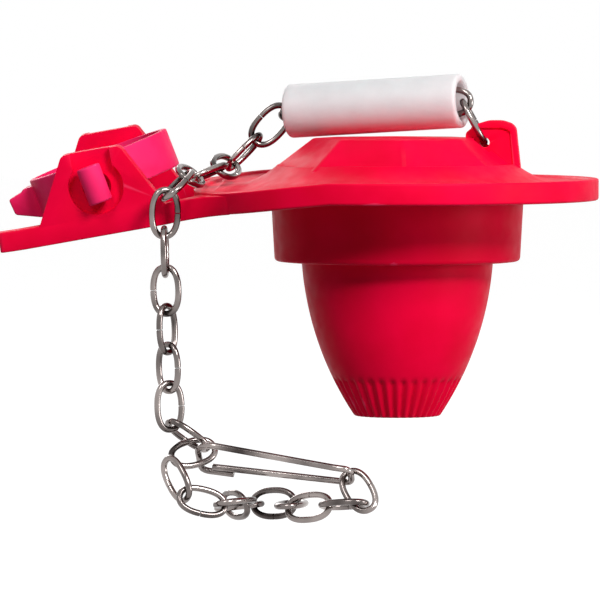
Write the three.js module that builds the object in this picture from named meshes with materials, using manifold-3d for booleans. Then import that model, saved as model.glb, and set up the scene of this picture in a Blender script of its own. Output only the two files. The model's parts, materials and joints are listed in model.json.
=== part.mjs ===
// Toilet flapper with its overflow ring, lift chain, float and clip.
// Millimetres, +Z up. The origin is the centre of the valve opening, in the plane of the disc's
// sealing underside.
// +X points from the pivot ears to the lift lug, and the near side of the arm is -Y.

import * as THREE from 'three';
import { mergeVertices } from 'three/addons/utils/BufferGeometryUtils.js';
import Module from 'manifold-3d';

const wasm = await Module();
wasm.setup();

const degree = Math.PI / 180;
const largeRoundSides = 32;
const roundSides = 24;
const smallRoundSides = 20;

// Disc and dome
const discRadius = 39.5;
const rimHeight = 4.3;
const rimLipWidth = 1.9;
const recessLevel = 3.8;
const rimEdge = 0.5;
const flareRadius = 30.5;
const flareBulge = -0.55;
const domeBaseRadius = 23.3;
const domeBaseLevel = 7.1;
const domeTopRadius = 16.6;
const domeTopLevel = 12.2;
const domeCrown = 0.3;
const domeSides = 8;
const domeTurn = 8 * degree;
const discSegments = 60;

// Skirt, cone and air chamber
const skirtTopRadius = 24.8;
const skirtBottomRadius = 24.1;
const skirtHeight = 12;
const skirtSink = 0.5;
const coneTopRadius = 18.8;
const coneTipRadius = 8.4;
const coneLength = 30.4;
const coneBulge = 2.1;
const fluteCount = 36;
const fluteLength = 7.8;
const fluteDepth = 0.55;
const wall = 2;
const bleedHoleRadius = 1.6;
const chamberSegments = 48;

// Lift lug
const lugWebThickness = 2.2;
const lugRibThickness = 3.2;
const lugHoleX = 17.25;
const lugHoleZ = 11.35;
const lugHoleRadius = 1.5;
const lugPocketRadius = 2.1;
const lugPocketHalfWidth = 3.6;
const lugCorners = [
  [13.3, 8], [13.4, 13.3], [15.4, 14.9], [18, 15.7], [20.7, 15.7], [22.6, 15.1], [23.4, 14.2], [24.4, 5],
];
const lugWebCorners = [[12, 0], [12, 14.1], [20.8, 14.1], [22.2, 13.5], [23.4, 0]];

// Arm, rails and ears
const armThickness = 4;
const armBlend = 5;
const armSink = 0.1;
const railOuter = 18.2;
const railWidth = 3.2;
const armFillet = 18;
const forkFront = -35;
const forkCorner = 6;
const nearTailLength = 77;
const farTailLength = 70.6;
const pivotX = -56.2;
const pivotHeight = 9.6;
const earTop = 7.2;
const earTopBack = -5.6;
const earTopFront = 5.95;
const earFootBack = -12.3;
const earFootFront = 12.6;
const earCorner = 1.2;
const socketRadius = 5.4;
const socketDepth = 1.5;
const channelClearance = 0.2;
const pegHoleRadius = 2.8;

// How the soft arm has settled: it droops towards the tail and its near side hangs lower
const droopStart = -15;
const droopEnd = -44;
const droopAngle = 10.2 * degree;
const tailEaseStart = -71.5;
const tailEaseEnd = -80;
const tailEaseAngle = -5 * degree;
const twistStart = -10;
const twistEnd = -44;
const twistAngle = 5.8 * degree;

// Overflow ring
const ringGap = 0.6;
const ringWall = 1.3;
const ringHeight = 7.6;
const ringEdge = 0.3;
const ringSegments = 56;
const ringTilt = 10.5 * degree;
const ringSlack = 2.2 * degree;
const pegDrop = 0.7;
const neckRadius = 1.7;
const headRadius = 2.35;
const headHeight = 7.4;
const headClearance = 0.45;
const ringLugWidth = 7;
const ringLugRootDrop = 1.3;
// The lug's outline as distances out from the band and down from its top
const ringLugOutline = [[1.5, 1.1], [2.1, 1.6], [4.9, 2.1], [4.7, 5.35]];

// Chain wire and links
const wireDiameter = 1.25;
const linkInnerLength = 7.8;
const linkInnerWidth = 3.9;
const linkPlay = 0.3;
const buttGap = 0.25;
const wireSides = 6;
const linkSteps = 16;

// Float
const floatLength = 35.8;
const floatRadius = 5.3;
const floatBore = 3.9;
const floatEdge = 0.6;
const mouthFlare = 0.5;
const floatSegments = 36;
const floatEnd = new THREE.Vector3(12.8, -0.4, 19.5);
const floatYaw = 13 * degree;
const floatDip = 3.6 * degree;
const boreSag = 0.15;

// Clip
const clipWire = 1.3;
const clipWidth = 9.4;
const clipEyeWidth = 4.6;
const clipEyeLength = 3;
const clipEyeCorner = 1.8;
const clipNeckCorner = 1;
const clipEndCorner = 1.8;
const clipShoulder = 2.6;
const clipShoulderDrop = 1.6;
const clipShoulderCorner = 1.4;
const clipGateShort = 2.4;
const clipLatch = 6.5;
const clipLatchGap = 0.35;
const clippedShift = 1.6;
const clipRoll = -0.7 * degree;
const clipSteps = 72;

// Colours
const red = { color: 0xe6003a, roughness: 0.45, metalness: 0 };
const steel = { color: 0xa39a92, roughness: 0.3, metalness: 1 };
const white = { color: 0xf1eeee, roughness: 0.5, metalness: 0 };

// Solids from closed geometries, and back

function solidOf(geometry) {
  const bare = geometry.clone();
  bare.deleteAttribute('normal');
  bare.deleteAttribute('uv');
  const merged = mergeVertices(bare, 1e-4);
  const mesh = new wasm.Mesh({
    numProp: 3,
    vertProperties: new Float32Array(merged.attributes.position.array),
    triVerts: new Uint32Array(merged.index.array),
  });
  return new wasm.Manifold(mesh);
}

function geometryOf(solid) {
  const mesh = solid.getMesh();
  const geometry = new THREE.BufferGeometry();
  geometry.setAttribute('position', new THREE.BufferAttribute(new Float32Array(mesh.vertProperties), 3));
  geometry.setIndex(new THREE.BufferAttribute(new Uint32Array(mesh.triVerts), 1));
  geometry.computeVertexNormals();
  return geometry;
}

function turned(profile, segments) {
  const points = profile.map(([r, z]) => new THREE.Vector2(r, z));
  return new THREE.LatheGeometry(points, segments).rotateX(Math.PI / 2);
}

function rodAlongY(radius, fromY, toY, sides) {
  const rod = new THREE.CylinderGeometry(radius, radius, toY - fromY, sides);
  return rod.translate(0, (fromY + toY) / 2, 0);
}

// A plate standing in the XZ plane: the outline's x and y become x and z
function plateAlongY(shape, fromY, toY) {
  const plate = new THREE.ExtrudeGeometry(shape, { depth: toY - fromY, bevelEnabled: false, curveSegments: 5 });
  return plate.rotateX(Math.PI / 2).translate(0, toY, 0);
}

// The arc through two points that bulges by a given height on its right-hand side, or on its left if negative
function bulgedPoints(start, end, bulge, steps) {
  const points = [];
  const size = Math.abs(bulge);
  const chord = Math.hypot(end[0] - start[0], end[1] - start[1]);
  const along = [(end[0] - start[0]) / chord, (end[1] - start[1]) / chord];
  const radius = (chord * chord / 4 + size * size) / (2 * size);
  for (let i = 0; i <= steps; i++) {
    const t = (i / steps - 0.5) * chord;
    const height = Math.sign(bulge) * (Math.sqrt(radius * radius - t * t) - (radius - size));
    points.push([
      start[0] + along[0] * (t + chord / 2) + along[1] * height,
      start[1] + along[1] * (t + chord / 2) - along[0] * height,
    ]);
  }
  return points;
}

// The arm's course

const armCourse = [
  { from: droopStart, to: droopEnd, turn: droopAngle },
  { from: droopEnd, to: tailEaseStart, turn: 0 },
  { from: tailEaseStart, to: tailEaseEnd, turn: tailEaseAngle },
  { from: tailEaseEnd, to: -3 * nearTailLength, turn: 0 },
];

function frameAt(x) {
  let place = Math.max(x, droopStart);
  let drop = 0;
  let heading = 0;
  for (const stretch of armCourse) {
    const whole = stretch.from - stretch.to;
    const walked = THREE.MathUtils.clamp(stretch.from - x, 0, whole);
    const turn = (stretch.turn * walked) / whole;
    const middle = heading + turn / 2;
    const chord = turn === 0 ? walked : (walked * Math.sin(turn / 2)) / (turn / 2);
    place -= chord * Math.cos(middle);
    drop += chord * Math.sin(middle);
    heading += turn;
  }
  const twist = twistAngle * THREE.MathUtils.clamp((twistStart - x) / (twistStart - twistEnd), 0, 1);
  return new THREE.Matrix4()
    .makeTranslation(place, 0, -drop)
    .multiply(new THREE.Matrix4().makeRotationY(-heading))
    .multiply(new THREE.Matrix4().makeRotationX(twist));
}

// Moves a flat geometry onto the arm's settled course
function settled(geometry) {
  const position = geometry.attributes.position;
  const point = new THREE.Vector3();
  for (let i = 0; i < position.count; i++) {
    point.fromBufferAttribute(position, i);
    if (point.x < Math.max(droopStart, twistStart)) {
      const frame = frameAt(point.x);
      point.setX(0).applyMatrix4(frame);
      position.setXYZ(i, point.x, point.y, point.z);
    }
  }
  return geometry;
}

// Flapper body

function discGeometry() {
  const flare = bulgedPoints([flareRadius, recessLevel], [domeBaseRadius, domeBaseLevel], flareBulge, 5);
  return turned([
    [0, 0],
    [skirtBottomRadius, 0],
    [(skirtBottomRadius + discRadius) / 2, 0],
    [discRadius - rimEdge, 0],
    [discRadius, rimEdge],
    [discRadius, rimHeight - rimEdge],
    [discRadius - rimEdge, rimHeight],
    [discRadius - rimLipWidth, rimHeight],
    [discRadius - rimLipWidth - rimEdge, recessLevel],
    ...flare,
    [0, domeBaseLevel],
  ], discSegments);
}

function domeGeometry() {
  const sink = 1.2;
  const slope = (domeBaseRadius - domeTopRadius) / (domeTopLevel - domeBaseLevel);
  return turned([
    [0, domeBaseLevel - sink],
    [domeBaseRadius + sink * slope, domeBaseLevel - sink],
    [domeTopRadius + domeCrown * slope, domeTopLevel - domeCrown],
    [domeTopRadius - domeCrown, domeTopLevel],
    [0, domeTopLevel + domeCrown],
  ], domeSides).rotateZ(domeTurn);
}

function conePoints(inset) {
  const top = [coneTopRadius - inset, -skirtHeight];
  const tip = [coneTipRadius - inset, -skirtHeight - coneLength + inset];
  return bulgedPoints(tip, top, coneBulge, 12);
}

function plugGeometry() {
  const tipLevel = -skirtHeight - coneLength;
  const geometry = turned([
    [0, tipLevel],
    [coneTipRadius - rimEdge, tipLevel],
    ...conePoints(0),
    [skirtBottomRadius - rimEdge, -skirtHeight],
    [skirtBottomRadius, -skirtHeight + rimEdge],
    [skirtTopRadius, skirtSink],
    [0, skirtSink],
  ], fluteCount * 2);
  const position = geometry.attributes.position;
  for (let i = 0; i < position.count; i++) {
    const x = position.getX(i);
    const y = position.getY(i);
    const radius = Math.hypot(x, y);
    const column = Math.round((Math.atan2(x, -y) / Math.PI) * fluteCount);
    const depth = THREE.MathUtils.clamp((tipLevel + fluteLength - position.getZ(i)) / fluteLength, 0, 1);
    if (radius > coneTipRadius - 2 * rimEdge && column % 2 !== 0 && depth > 0) {
      const scale = (radius - fluteDepth * Math.min(1, 0.45 + depth)) / radius;
      position.setX(i, x * scale);
      position.setY(i, y * scale);
    }
  }
  return geometry;
}

function chamberGeometry() {
  const inner = conePoints(wall);
  const floorLevel = inner[0][1];
  const chamberTop = domeTopLevel - wall;
  return turned([
    [0, floorLevel],
    ...inner,
    [coneTopRadius - wall, domeBaseLevel - wall],
    [domeTopRadius - wall, chamberTop],
    [0, chamberTop],
  ], chamberSegments);
}

// Half the arm's width: the rails' outer line, filleted into the disc's rim
function armHalfWidth(x) {
  const centreY = railOuter + armFillet;
  const centreX = -Math.sqrt((discRadius + armFillet) ** 2 - centreY ** 2);
  if (x <= centreX) {
    return railOuter;
  }
  const tangentX = (centreX * discRadius) / (discRadius + armFillet);
  const reach = Math.min(x, tangentX) - centreX;
  return centreY - Math.sqrt(armFillet ** 2 - reach ** 2);
}

// The arm as a flat slab in short stretches, so that it can follow its course
function armSlab(tailX) {
  const startX = -flareRadius;
  const stations = 20;
  const positions = [];
  const index = [];
  for (let i = 0; i <= stations; i++) {
    const x = startX + ((tailX - startX) * i) / stations;
    const half = armHalfWidth(x);
    const rise = THREE.MathUtils.clamp((startX - x) / armBlend, 0, 1);
    const top = THREE.MathUtils.lerp(recessLevel - armSink, armThickness, rise);
    positions.push(x, -half, 0, x, half, 0, x, half, top, x, -half, top);
  }
  for (let i = 0; i < stations; i++) {
    for (let k = 0; k < 4; k++) {
      const a = i * 4 + k;
      const b = i * 4 + ((k + 1) % 4);
      index.push(a, a + 4, b, b, a + 4, b + 4);
    }
  }
  const last = stations * 4;
  index.push(0, 1, 2, 0, 2, 3, last, last + 2, last + 1, last, last + 3, last + 2);
  const geometry = new THREE.BufferGeometry();
  geometry.setAttribute('position', new THREE.Float32BufferAttribute(positions, 3));
  geometry.setIndex(index);
  return geometry;
}

// The gap between the rails, where the overflow tube passes
function forkGap() {
  const half = railOuter - railWidth;
  const past = 5;
  const outline = new THREE.Shape();
  outline.moveTo(-nearTailLength - past, -half);
  outline.lineTo(forkFront - forkCorner, -half);
  outline.absarc(forkFront - forkCorner, forkCorner - half, forkCorner, -Math.PI / 2, 0, false);
  outline.absarc(forkFront - forkCorner, half - forkCorner, forkCorner, 0, Math.PI / 2, false);
  outline.lineTo(-nearTailLength - past, half);
  outline.closePath();
  const cut = new THREE.ExtrudeGeometry(outline, {
    depth: armThickness * 4,
    bevelEnabled: false,
    curveSegments: 10,
  });
  return cut.translate(0, 0, -armThickness * 1.5);
}

function farTailCut() {
  const size = nearTailLength;
  const cut = new THREE.BoxGeometry(size, railOuter * 2, armThickness * 4);
  return cut.translate(-farTailLength - size / 2, railOuter, 0);
}

function earShape() {
  const sink = pivotHeight - armThickness + 1;
  const backSlope = (earTopBack - earFootBack) / (earTop + pivotHeight - armThickness);
  const frontSlope = (earFootFront - earTopFront) / (earTop + pivotHeight - armThickness);
  const shape = new THREE.Shape();
  shape.moveTo(earFootBack - backSlope, -sink);
  shape.lineTo(earFootFront + frontSlope, -sink);
  shape.lineTo(earTopFront + frontSlope * earCorner, earTop - earCorner);
  shape.quadraticCurveTo(earTopFront, earTop, earTopFront - earCorner, earTop);
  shape.lineTo(earTopBack + earCorner, earTop);
  shape.quadraticCurveTo(earTopBack, earTop, earTopBack - backSlope * earCorner, earTop - earCorner);
  shape.closePath();
  return shape;
}

// The way in for a peg's head, from the top of the ear down to its socket
function channelShape() {
  const half = headHeight / 2 + channelClearance;
  const past = 1;
  const shape = new THREE.Shape();
  shape.moveTo(-half, 0);
  shape.lineTo(half, 0);
  shape.lineTo(half, earTop + past);
  shape.lineTo(-half, earTop + past);
  shape.closePath();
  return shape;
}

function atPivot(geometry) {
  return settled(geometry.translate(pivotX, 0, pivotHeight));
}

function earSolid(side) {
  const inner = side * (railOuter - railWidth);
  const outer = side * railOuter;
  const socketFloor = side * (railOuter - socketDepth);
  const past = side * (railOuter + 1);
  const span = (a, b) => [Math.min(a, b), Math.max(a, b)];
  const plate = solidOf(atPivot(plateAlongY(earShape(), ...span(inner, outer))));
  const socket = solidOf(atPivot(rodAlongY(socketRadius, ...span(socketFloor, past), largeRoundSides)));
  const channel = solidOf(atPivot(plateAlongY(channelShape(), ...span(socketFloor, past))));
  const hole = solidOf(atPivot(rodAlongY(pegHoleRadius, ...span(inner - side, past), roundSides)));
  return { plate, cuts: [socket, channel, hole] };
}

function outlineOf(corners) {
  return new THREE.Shape(corners.map(([x, y]) => new THREE.Vector2(x, y)));
}

// Web with a raised rib along its top and outer edge
function lugSolid() {
  const ribShape = outlineOf(lugCorners);
  const field = plateAlongY(outlineOf(lugWebCorners), -lugRibThickness, lugRibThickness);
  const rib = plateAlongY(ribShape, -lugRibThickness / 2, lugRibThickness / 2);
  const web = plateAlongY(ribShape, -lugWebThickness / 2, lugWebThickness / 2);
  return solidOf(rib).subtract(solidOf(field)).add(solidOf(web));
}

function atLugHole(geometry) {
  return solidOf(geometry.translate(lugHoleX, 0, lugHoleZ));
}

function flapperBody() {
  const across = [-lugPocketHalfWidth, lugPocketHalfWidth];
  const pocket = atLugHole(rodAlongY(lugPocketRadius, ...across, smallRoundSides));
  const hole = atLugHole(rodAlongY(lugHoleRadius, ...across, smallRoundSides));
  const arm = solidOf(settled(armSlab(-nearTailLength)))
    .subtract(solidOf(settled(forkGap())))
    .subtract(solidOf(settled(farTailCut())));
  let body = solidOf(settled(discGeometry()))
    .add(solidOf(domeGeometry()))
    .subtract(pocket)
    .add(lugSolid().subtract(hole))
    .add(solidOf(plugGeometry()))
    .add(arm);
  for (const side of [-1, 1]) {
    const ear = earSolid(side);
    body = body.add(ear.plate);
    ear.cuts.forEach((cut) => {
      body = body.subtract(cut);
    });
  }
  const bleed = rodAlongY(bleedHoleRadius, -wall, wall * 2, smallRoundSides)
    .rotateX(Math.PI / 2)
    .translate(0, 0, -skirtHeight - coneLength);
  return geometryOf(body.subtract(solidOf(chamberGeometry())).subtract(solidOf(bleed)));
}

// Overflow ring, about the middle of its pegs

function overflowRing() {
  const outer = railOuter - railWidth - ringGap;
  const inner = outer - ringWall;
  const half = ringHeight / 2;
  const band = turned([
    [inner, -half],
    [outer - ringEdge, -half],
    [outer, -half + ringEdge],
    [outer, half - ringEdge],
    [outer - ringEdge, half],
    [inner, half],
    [inner, -half],
  ], ringSegments).translate(0, 0, pegDrop);
  const headCentre = railOuter - socketDepth + headClearance + headRadius;
  const tab = outlineOf([
    [-outer + ringWall / 2, -half],
    [-outer + ringWall / 2, half - ringLugRootDrop],
    ...ringLugOutline.map(([out, drop]) => [-outer - out, half - drop]),
    [-outer, -half],
  ]);
  const ringLug = plateAlongY(tab, -ringLugWidth / 2, ringLugWidth / 2).translate(0, 0, pegDrop);
  let ring = solidOf(band).add(solidOf(ringLug));
  for (const side of [-1, 1]) {
    const from = side * (outer - ringWall / 2);
    const to = side * headCentre;
    const neck = rodAlongY(neckRadius, Math.min(from, to), Math.max(from, to), smallRoundSides);
    const head = new THREE.CylinderGeometry(headRadius, headRadius, headHeight, roundSides)
      .rotateX(Math.PI / 2)
      .translate(0, side * headCentre, 0);
    ring = ring.add(solidOf(neck)).add(solidOf(head));
  }
  return geometryOf(ring);
}

function ringPlace() {
  return frameAt(pivotX)
    .multiply(new THREE.Matrix4().makeTranslation(0, 0, pivotHeight))
    .multiply(new THREE.Matrix4().makeRotationX(-ringSlack))
    .multiply(new THREE.Matrix4().makeRotationY(-ringTilt));
}

// Float

function floatGeometry() {
  const half = floatLength / 2;
  return turned([
    [floatBore, -half + mouthFlare],
    [floatBore + mouthFlare, -half],
    [floatRadius - floatEdge, -half],
    [floatRadius, -half + floatEdge],
    [floatRadius, half - floatEdge],
    [floatRadius - floatEdge, half],
    [floatBore + mouthFlare, half],
    [floatBore, half - mouthFlare],
    [floatBore, -half + mouthFlare],
  ], floatSegments);
}

const floatAlong = new THREE.Vector3(
  -Math.cos(floatYaw) * Math.cos(floatDip),
  Math.sin(floatYaw) * Math.cos(floatDip),
  -Math.sin(floatDip),
);

// Chain

const wireSpacing = wireDiameter + linkPlay;
const linkReach = linkInnerLength + wireDiameter;
const linkPitch = linkReach - wireSpacing;
const crownRadius = (linkInnerWidth + wireDiameter) / 2;
const linkLeg = linkInnerLength - linkInnerWidth;

// The middle line of a link's wire, from one side of the butt gap round to the other
class LinkLine extends THREE.Curve {
  getPoint(t, target = new THREE.Vector3()) {
    const round = Math.PI * crownRadius;
    const whole = 2 * linkLeg + 2 * round;
    const walked = buttGap / 2 + t * (whole - buttGap) + linkLeg / 2;
    const side = Math.floor(walked / (linkLeg + round)) % 2;
    const rest = walked % (linkLeg + round);
    const sign = side === 0 ? 1 : -1;
    if (rest <= linkLeg) {
      return target.set(sign * (rest - linkLeg / 2), -sign * crownRadius, 0);
    }
    const angle = (rest - linkLeg) / crownRadius - Math.PI / 2;
    return target.set(
      sign * (linkLeg / 2 + crownRadius * Math.cos(angle)),
      sign * crownRadius * Math.sin(angle),
      0,
    );
  }
}

function wireSection(diameter) {
  const shape = new THREE.Shape();
  for (let i = 0; i < wireSides; i++) {
    const angle = (2 * Math.PI * i) / wireSides;
    const x = (diameter / 2) * Math.cos(angle);
    const y = (diameter / 2) * Math.sin(angle);
    if (i === 0) {
      shape.moveTo(x, y);
    } else {
      shape.lineTo(x, y);
    }
  }
  shape.closePath();
  return shape;
}

function wireAlong(line, diameter, steps) {
  return new THREE.ExtrudeGeometry(wireSection(diameter), {
    steps,
    bevelEnabled: false,
    extrudePath: line,
  });
}

// Where each link of the free chain aims, and how far it is turned round that line, in degrees
const overArm = [
  { aim: [-29.2, 7.4, 11], roll: 15 },
  { aim: [-33.5, 4.4, 6.4], roll: 20 },
  { aim: [-35.4, -1.9, 5.1], roll: -15 },
  { aim: [-38, -8.2, 4.6], roll: -15 },
  { aim: [-40.3, -15.2, 4.4], roll: 20 },
  { aim: [-42.5, -22.3, 2], roll: -20 },
];
const hanging = [
  { aim: [-43.2, -22.7, -8.2], roll: 30 },
  { aim: [-43.2, -22.6, -15.7], roll: 20 },
  { aim: [-43, -22.5, -23.2], roll: 15 },
  { aim: [-42.7, -22.4, -30.7], roll: 15 },
  { aim: [-42.5, -22.4, -38.2], roll: 10 },
  { aim: [-42.3, -22.4, -45.7], roll: 20 },
];
const heaped = [
  { aim: [-36.3, -21.2, -48.4], roll: 8 },
  { aim: [-44, -25.7, -50.3], roll: 14 },
  { aim: [-37.8, -27.3, -56.1], roll: -30 },
  { aim: [-32.6, -27.5, -58.4], roll: 18 },
  { aim: [-27.5, -22.5, -58.6], roll: 0 },
  { aim: [-30.5, -15.5, -58.6], roll: 0 },
  { aim: [-24.8, -10.6, -58.6], roll: 0 },
  { aim: [-18.4, -14.2, -58.6], roll: 0 },
  { aim: [-19.5, -21.6, -58.6], roll: 0 },
  { aim: [-13.9, -25, -58], roll: -11 },
  { aim: [-3.4, -27, -57.6], roll: 11 },
  { aim: [-8.7, -22.7, -50.1], roll: 24 },
];

// Hooks links on one another. A hook is the middle of a wire and the way that the wire runs there.
function lay(firstHook, course) {
  const places = [];
  let hook = firstHook;
  for (const step of course) {
    const along = new THREE.Vector3(...step.aim).sub(hook.at).normalize();
    const across = hook.across.clone().cross(along).normalize().applyAxisAngle(along, step.roll * degree);
    const pull = hook.across.clone().cross(across).normalize();
    pull.multiplyScalar(Math.sign(pull.dot(along)));
    const crown = hook.at.clone().addScaledVector(pull, -wireSpacing);
    const faces = along.clone().cross(across);
    const middle = crown.clone().addScaledVector(along, linkReach / 2);
    places.push(new THREE.Matrix4().makeBasis(along, across, faces).setPosition(middle));
    hook = { at: crown.clone().addScaledVector(along, linkReach), across };
  }
  return { places, hook };
}

// The first link hangs from the float's mouth in the lift lug
const boreMiddle = floatEnd.clone().addScaledVector(floatAlong, floatLength / 2).setZ(
  floatEnd.z + (floatAlong.z * floatLength) / 2 - boreSag,
);
const linksInFloat = Math.round(floatLength / linkPitch);
const boreStart = boreMiddle.clone().addScaledVector(floatAlong, (-linksInFloat * linkPitch) / 2);
const insideFloat = [];
for (let i = 1; i <= linksInFloat; i++) {
  const reach = boreStart.clone().addScaledVector(floatAlong, linkPitch * i + wireSpacing / 2);
  insideFloat.push({ aim: reach.toArray(), roll: 11 });
}
const liftTop = boreStart.clone().addScaledVector(floatAlong, wireSpacing / 2);
const liftAlong = liftTop.clone().sub(new THREE.Vector3(lugHoleX, 0, lugHoleZ)).normalize();
const lugHook = {
  at: liftTop.clone().addScaledVector(liftAlong, wireSpacing - linkReach),
  across: new THREE.Vector3(0, 1, 0).cross(liftAlong).normalize(),
};

const lift = lay(lugHook, [{ aim: liftTop.toArray(), roll: 0 }]);
const inFloat = lay(lift.hook, insideFloat);
const crossing = lay(inFloat.hook, overArm);
const hung = lay(crossing.hook, hanging);
const heap = lay(hung.hook, heaped);
const linkPlaces = [...lift.places, ...inFloat.places, ...crossing.places, ...hung.places, ...heap.places];

// Clip: one wire from the gate's free end, round the eye, back along the spine and into the latch

function roundedLine(corners) {
  const path = new THREE.CurvePath();
  let last = new THREE.Vector3(...corners[0].at);
  for (let i = 1; i < corners.length - 1; i++) {
    const here = new THREE.Vector3(...corners[i].at);
    const before = new THREE.Vector3(...corners[i - 1].at).sub(here).normalize();
    const after = new THREE.Vector3(...corners[i + 1].at).sub(here).normalize();
    const enter = here.clone().addScaledVector(before, corners[i].round);
    const leave = here.clone().addScaledVector(after, corners[i].round);
    path.add(new THREE.LineCurve3(last, enter));
    path.add(new THREE.QuadraticBezierCurve3(enter, here, leave));
    last = leave;
  }
  path.add(new THREE.LineCurve3(last, new THREE.Vector3(...corners[corners.length - 1].at)));
  return path;
}

function clipGeometry(length) {
  const half = clipWidth / 2;
  const eye = clipEyeWidth / 2;
  const gate = half - clipWire - clipLatchGap;
  return wireAlong(roundedLine([
    { at: [length - clipGateShort, -gate, 0] },
    { at: [clipEyeLength, -eye, 0], round: clipNeckCorner },
    { at: [0, -eye, 0], round: clipEyeCorner },
    { at: [0, eye, 0], round: clipEyeCorner },
    { at: [clipEyeLength, eye, 0], round: clipNeckCorner },
    { at: [length - clipShoulder, half, 0], round: clipShoulderCorner },
    { at: [length, half - clipShoulderDrop, 0], round: clipShoulderCorner },
    { at: [length, -half, 0], round: clipEndCorner },
    { at: [length - clipLatch, -half, 0] },
  ]), clipWire, clipSteps);
}

// The clip's eye hangs on the last link and its end passes through an earlier one
function clipPlace() {
  const clipped = heap.places[1];
  const end = new THREE.Vector3(-clippedShift, 0, 0).applyMatrix4(clipped);
  const along = end.clone().sub(heap.hook.at).normalize();
  const across = new THREE.Vector3().setFromMatrixColumn(clipped, 2);
  across.addScaledVector(along, -across.dot(along)).normalize().applyAxisAngle(along, clipRoll);
  const pull = heap.hook.across.clone().cross(across).normalize();
  pull.multiplyScalar(Math.sign(pull.dot(along)));
  const eye = heap.hook.at.clone().addScaledVector(pull, -(wireSpacing + clipWire - wireDiameter));
  return {
    length: eye.distanceTo(end),
    matrix: new THREE.Matrix4().makeBasis(along, across, along.clone().cross(across)).setPosition(eye),
  };
}

// The whole object

const flapper = new THREE.Group();

function addPiece(name, geometry, finish, place) {
  const piece = new THREE.Mesh(geometry, new THREE.MeshStandardMaterial(finish));
  piece.name = name;
  if (place) {
    piece.applyMatrix4(place);
  }
  flapper.add(piece);
}

addPiece('flapper_body', flapperBody(), red);
addPiece('overflow_ring', overflowRing(), red, ringPlace());

const floatMiddle = floatEnd.clone().addScaledVector(floatAlong, floatLength / 2);
const floatTurn = new THREE.Quaternion().setFromUnitVectors(new THREE.Vector3(0, 0, 1), floatAlong);
const floatPlace = new THREE.Matrix4().makeRotationFromQuaternion(floatTurn).setPosition(floatMiddle);
addPiece('float', floatGeometry(), white, floatPlace);

const linkGeometry = wireAlong(new LinkLine(), wireDiameter, linkSteps);
linkPlaces.forEach((place, i) => {
  addPiece(`chain_link_${String(i + 1).padStart(2, '0')}`, linkGeometry.clone(), steel, place);
});

const clip = clipPlace();
addPiece('chain_clip', clipGeometry(clip.length), steel, clip.matrix);

export default flapper;
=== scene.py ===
import json
import math
import bmesh
import bpy
import numpy as np
from mathutils import Matrix, Vector

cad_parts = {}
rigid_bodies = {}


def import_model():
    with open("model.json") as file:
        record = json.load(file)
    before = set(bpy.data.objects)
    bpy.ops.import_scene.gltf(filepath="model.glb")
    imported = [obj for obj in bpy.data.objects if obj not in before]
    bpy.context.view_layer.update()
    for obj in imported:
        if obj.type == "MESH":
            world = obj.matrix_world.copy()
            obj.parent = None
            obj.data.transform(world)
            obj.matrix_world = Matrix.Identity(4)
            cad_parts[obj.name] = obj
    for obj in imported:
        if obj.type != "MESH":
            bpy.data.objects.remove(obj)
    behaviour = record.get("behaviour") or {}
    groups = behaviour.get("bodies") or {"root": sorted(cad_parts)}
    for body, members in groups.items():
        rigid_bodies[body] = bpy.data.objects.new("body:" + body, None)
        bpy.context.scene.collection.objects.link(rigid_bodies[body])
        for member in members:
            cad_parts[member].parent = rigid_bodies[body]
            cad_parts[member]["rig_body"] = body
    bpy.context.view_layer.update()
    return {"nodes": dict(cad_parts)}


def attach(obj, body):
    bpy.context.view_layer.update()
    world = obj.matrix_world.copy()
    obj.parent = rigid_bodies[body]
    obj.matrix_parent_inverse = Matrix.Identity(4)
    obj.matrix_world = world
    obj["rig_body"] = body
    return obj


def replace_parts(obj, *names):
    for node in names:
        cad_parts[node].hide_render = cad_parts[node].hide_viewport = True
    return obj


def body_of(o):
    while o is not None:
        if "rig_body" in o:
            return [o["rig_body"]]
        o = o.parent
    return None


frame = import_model()
scene = bpy.context.scene
toMetres = Matrix.Scale(0.001, 4)  # shapes are drawn in millimetres

drawing = {
    "roundingShare": 0.48,  # of a side at most, so that two roundings never meet
    "onAxis": 1e-6,
    "rodSides": 48,
    "wireSides": 14,
    "wireEndRound": 0.08,
    "weld": 0.004,
    "sharpAngle": 38,
}


# outlines, blocks and wires

def rounded(corners, closed=True, steps=5):
    # a corner is (x, y) or (x, y, reach): reach is how far from it the rounding starts
    points = []
    last = len(corners) - 1
    share = drawing["roundingShare"]
    for i, corner in enumerate(corners):
        here = Vector(corner[:2])
        reach = corner[2] if len(corner) > 2 else 0
        if reach == 0 or (not closed and i in (0, last)):
            points.append(here)
            continue
        back = Vector(corners[i - 1][:2]) - here
        ahead = Vector(corners[(i + 1) % len(corners)][:2]) - here
        start = here + back.normalized() * min(reach, back.length * share)
        end = here + ahead.normalized() * min(reach, ahead.length * share)
        for k in range(steps + 1):
            t = k / steps
            points.append(start * (1 - t) ** 2 + here * 2 * t * (1 - t) + end * t ** 2)
    return points


def bulged(start, end, bulge, steps):
    # the arc through two points, bulging by that height on its right-hand side
    start, end = Vector(start), Vector(end)
    chord = (end - start).length
    along = (end - start) / chord
    right = Vector((along.y, -along.x))
    size = abs(bulge)
    radius = (chord * chord / 4 + size * size) / (2 * size)
    points = []
    for i in range(steps + 1):
        t = (i / steps - 0.5) * chord
        height = math.copysign(math.sqrt(radius ** 2 - t ** 2) - (radius - size), bulge)
        points.append(start + along * (t + chord / 2) + right * height)
    return points


def bridge(bm, rings):
    for low, high in zip(rings, rings[1:]):
        count = max(len(low), len(high))
        for i in range(count):
            j = (i + 1) % count
            if len(low) == 1:
                bm.faces.new((low[0], high[j], high[i]))
            elif len(high) == 1:
                bm.faces.new((low[i], low[j], high[0]))
            else:
                bm.faces.new((low[i], low[j], high[j], high[i]))


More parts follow.
